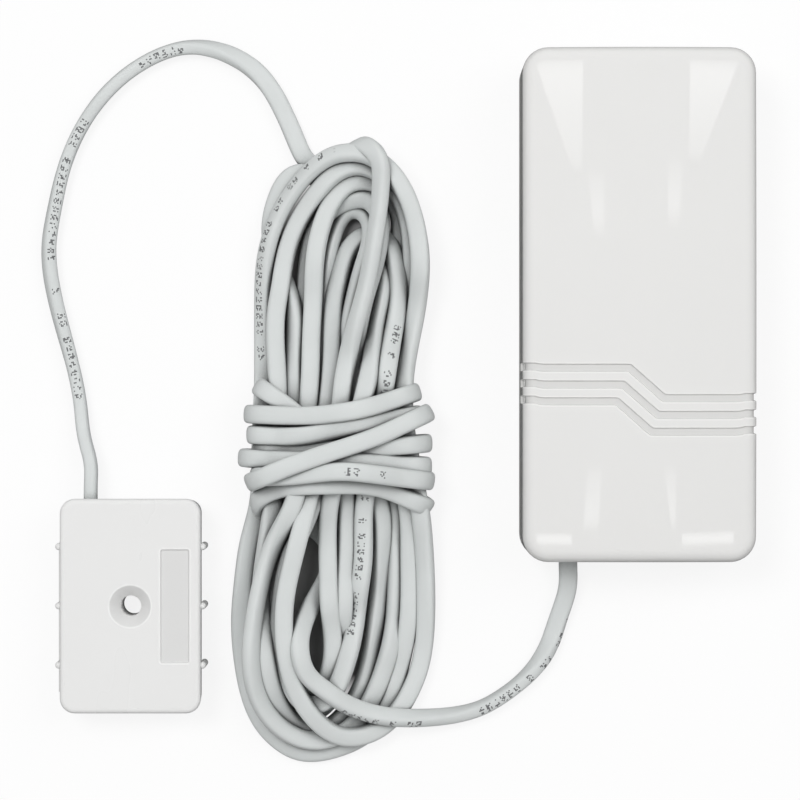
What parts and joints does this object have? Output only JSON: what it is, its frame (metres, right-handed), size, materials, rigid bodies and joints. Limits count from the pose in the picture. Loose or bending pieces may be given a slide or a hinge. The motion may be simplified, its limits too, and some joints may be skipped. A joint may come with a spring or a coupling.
{
  "type": "water leak sensor",
  "caption": "Wall-mounted radio transmitter with a grooved, crowned white cover, joined by a flat cord tied in a hank to a floor probe that detects water",
  "frame": {"origin": "middle of the transmitter's flat back face, which lies on the wall or table", "axes": "+Z out of the back face towards the crowned front, +Y to the end of the transmitter away from its cord, +X to its right seen from the front"},
  "size_m": [0.1523, 0.1532, 0.024],
  "materials": {
    "housing_white": "moulded, glossy",
    "probe_white": "moulded, half gloss",
    "probe_base_white": "moulded, matt",
    "cord_jacket": "extruded soft vinyl",
    "board_green": "solder mask",
    "terminal_green": "moulded",
    "black_plastic": "moulded",
    "plunger_plastic": "moulded acetal",
    "clamp_plastic": "moulded nylon",
    "cell_sleeve": "shrink sleeve",
    "capacitor_sleeve": "shrink sleeve",
    "core_insulation": "extruded vinyl",
    "steel": "zinc or tin plated",
    "spring_metal": "nickel plated",
    "copper_wire": "enamelled copper",
    "gold_plate": "gold plated"
  },
  "bodies": {
    "base": {"rear_cover": "housing_white", "circuit_board": "board_green", "board_screws": "steel", "terminal_block": "terminal_green", "terminal_screws": "steel", "battery_holder": "black_plastic", "battery_cell": "cell_sleeve", "positive_contact": "spring_metal", "negative_contact": "spring_metal", "tamper_switch": "black_plastic", "radio_can": "steel", "antenna": "copper_wire", "controller_chip": "black_plastic", "reservoir_capacitor": "capacitor_sleeve", "timing_crystal": "steel", "cord_clamp": "clamp_plastic", "clamp_screws": "steel", "transmitter_cores": "core_insulation", "probe_housing": "probe_white", "probe_base": "probe_base_white", "probe_board": "board_green", "sensing_contacts": "gold_plate", "probe_cores": "core_insulation", "cord_transmitter_lead": "cord_jacket", "cord_wrap": "cord_jacket", "cord_hank": "cord_jacket", "cord_probe_lead": "cord_jacket"},
    "front": {"front_cover": "housing_white"},
    "plunger": {"tamper_plunger": "plunger_plastic"}
  },
  "joints": [
    {"name": "front_cover_lift", "type": "slide", "parent": "base", "child": "front", "axis": [0, 0, 1], "range_m": [0, 0.03]},
    {"name": "tamper_press", "type": "slide", "parent": "base", "child": "plunger", "axis": [0, 0, 1], "range_m": [-0.0012, 0], "stiffness_N_per_m": 200, "springref_m": 0.001}
  ]
}
